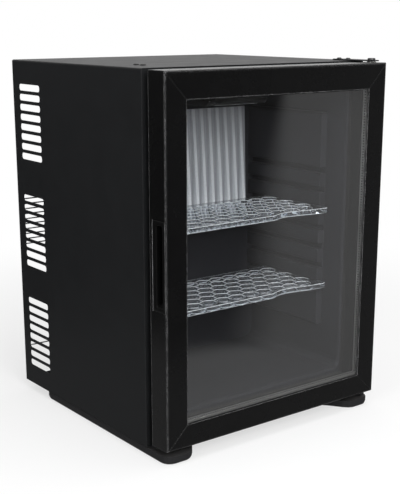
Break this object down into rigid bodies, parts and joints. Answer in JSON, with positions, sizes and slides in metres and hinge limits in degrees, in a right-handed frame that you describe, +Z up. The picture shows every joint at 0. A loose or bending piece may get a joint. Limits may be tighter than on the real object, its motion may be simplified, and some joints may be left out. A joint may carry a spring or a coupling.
{
  "type": "minibar fridge",
  "caption": "Compact black cabinet fridge with a framed double-glazed door, clear shelves, slotted sides, sled base and an absorption cooling unit at the open rear.",
  "frame": {"origin": "on the floor under the middle of the fridge, runners' soles at z = 0", "axes": "+Z up, the door faces -Y and its hinges are on the +X side"},
  "size_m": [0.402, 0.4008, 0.5382],
  "materials": {
    "black_paint": "fine-textured satin black powder coat",
    "black_plastic": "matt moulded black",
    "frame_plastic": "satin black extruded profile",
    "liner_plastic": "satin black formed sheet",
    "foam": "pale rigid foam and wool",
    "zinc_steel": "zinc-plated steel",
    "bare_aluminium": "plain mill finish",
    "soft_rubber": "soft black PVC and rubber",
    "lamp_plastic": "frosted clear lens",
    "bush_plastic": "natural acetal",
    "clear_plastic": "clear moulded plastic, polished",
    "clear_glass": "clear float glass",
    "magnet_strip": "plain magnetic rubber strip",
    "unit_paint": "dull black lacquer on steel tube"
  },
  "bodies": {
    "cabinet": {"outer_shell": "black_paint", "bottom_pan": "black_paint", "base_plinth": "black_plastic", "inner_liner": "liner_plastic", "insulation_foam": "foam", "back_panel": "zinc_steel", "cold_plate": "bare_aluminium", "drip_gutter": "black_plastic", "drain_hose": "soft_rubber", "drip_dish": "black_plastic", "lamp_housing": "black_plastic", "lamp_lens": "lamp_plastic", "top_hinge_plate": "black_paint", "top_hinge_pin": "black_paint", "top_hinge_screw_1": "black_paint", "top_hinge_screw_2": "black_paint", "hole_plug_1": "black_plastic", "hole_plug_2": "black_plastic", "bottom_hinge_bracket": "black_paint", "bottom_hinge_pin": "zinc_steel", "bottom_hinge_screw_1": "zinc_steel", "bottom_hinge_screw_2": "zinc_steel", "absorber_vessel": "unit_paint", "absorber_coil": "unit_paint", "unit_strap": "zinc_steel", "boiler_column": "unit_paint", "heater_cartridge": "zinc_steel", "boiler_jacket": "zinc_steel", "boiler_insulation": "foam", "liquid_tube": "unit_paint", "condenser_tube": "unit_paint", "condenser_fins": "bare_aluminium", "evaporator_tube": "unit_paint", "rear_wire_guard": "zinc_steel", "control_box": "black_plastic", "control_box_cover": "black_plastic", "power_inlet": "black_plastic", "heater_lead": "soft_rubber"},
    "door": {"door_stile_left": "frame_plastic", "door_stile_right": "frame_plastic", "door_rail_bottom": "frame_plastic", "door_rail_top": "frame_plastic", "outer_glass": "clear_glass", "inner_glass": "clear_glass", "glazing_spacer": "bare_aluminium", "glazing_bead_left": "frame_plastic", "glazing_bead_right": "frame_plastic", "glazing_bead_bottom": "frame_plastic", "glazing_bead_top": "frame_plastic", "door_seal": "soft_rubber", "seal_magnet_left": "magnet_strip", "seal_magnet_right": "magnet_strip", "seal_magnet_bottom": "magnet_strip", "seal_magnet_top": "magnet_strip", "door_grip": "black_plastic", "door_bush_top": "bush_plastic", "door_bush_bottom": "bush_plastic"},
    "upper_shelf": {"shelf_upper": "clear_plastic"},
    "lower_shelf": {"shelf_lower": "clear_plastic"},
    "thermostat": {"thermostat_knob": "black_plastic"}
  },
  "joints": [
    {"name": "door_hinge", "type": "hinge", "parent": "cabinet", "child": "door", "pos_m": [0.186, -0.18235, 0.277], "axis": [0, 0, 1], "range_deg": [0, 115]},
    {"name": "shelf_upper_slide", "type": "slide", "parent": "cabinet", "child": "upper_shelf", "axis": [0, -1, 0], "range_m": [0, 0.04]},
    {"name": "shelf_lower_slide", "type": "slide", "parent": "cabinet", "child": "lower_shelf", "axis": [0, -1, 0], "range_m": [0, 0.04]},
    {"name": "thermostat_turn", "type": "hinge", "parent": "cabinet", "child": "thermostat", "pos_m": [-0.042, -0.10165, 0.4867], "axis": [0, -1, 0], "range_deg": [0, 270]}
  ]
}
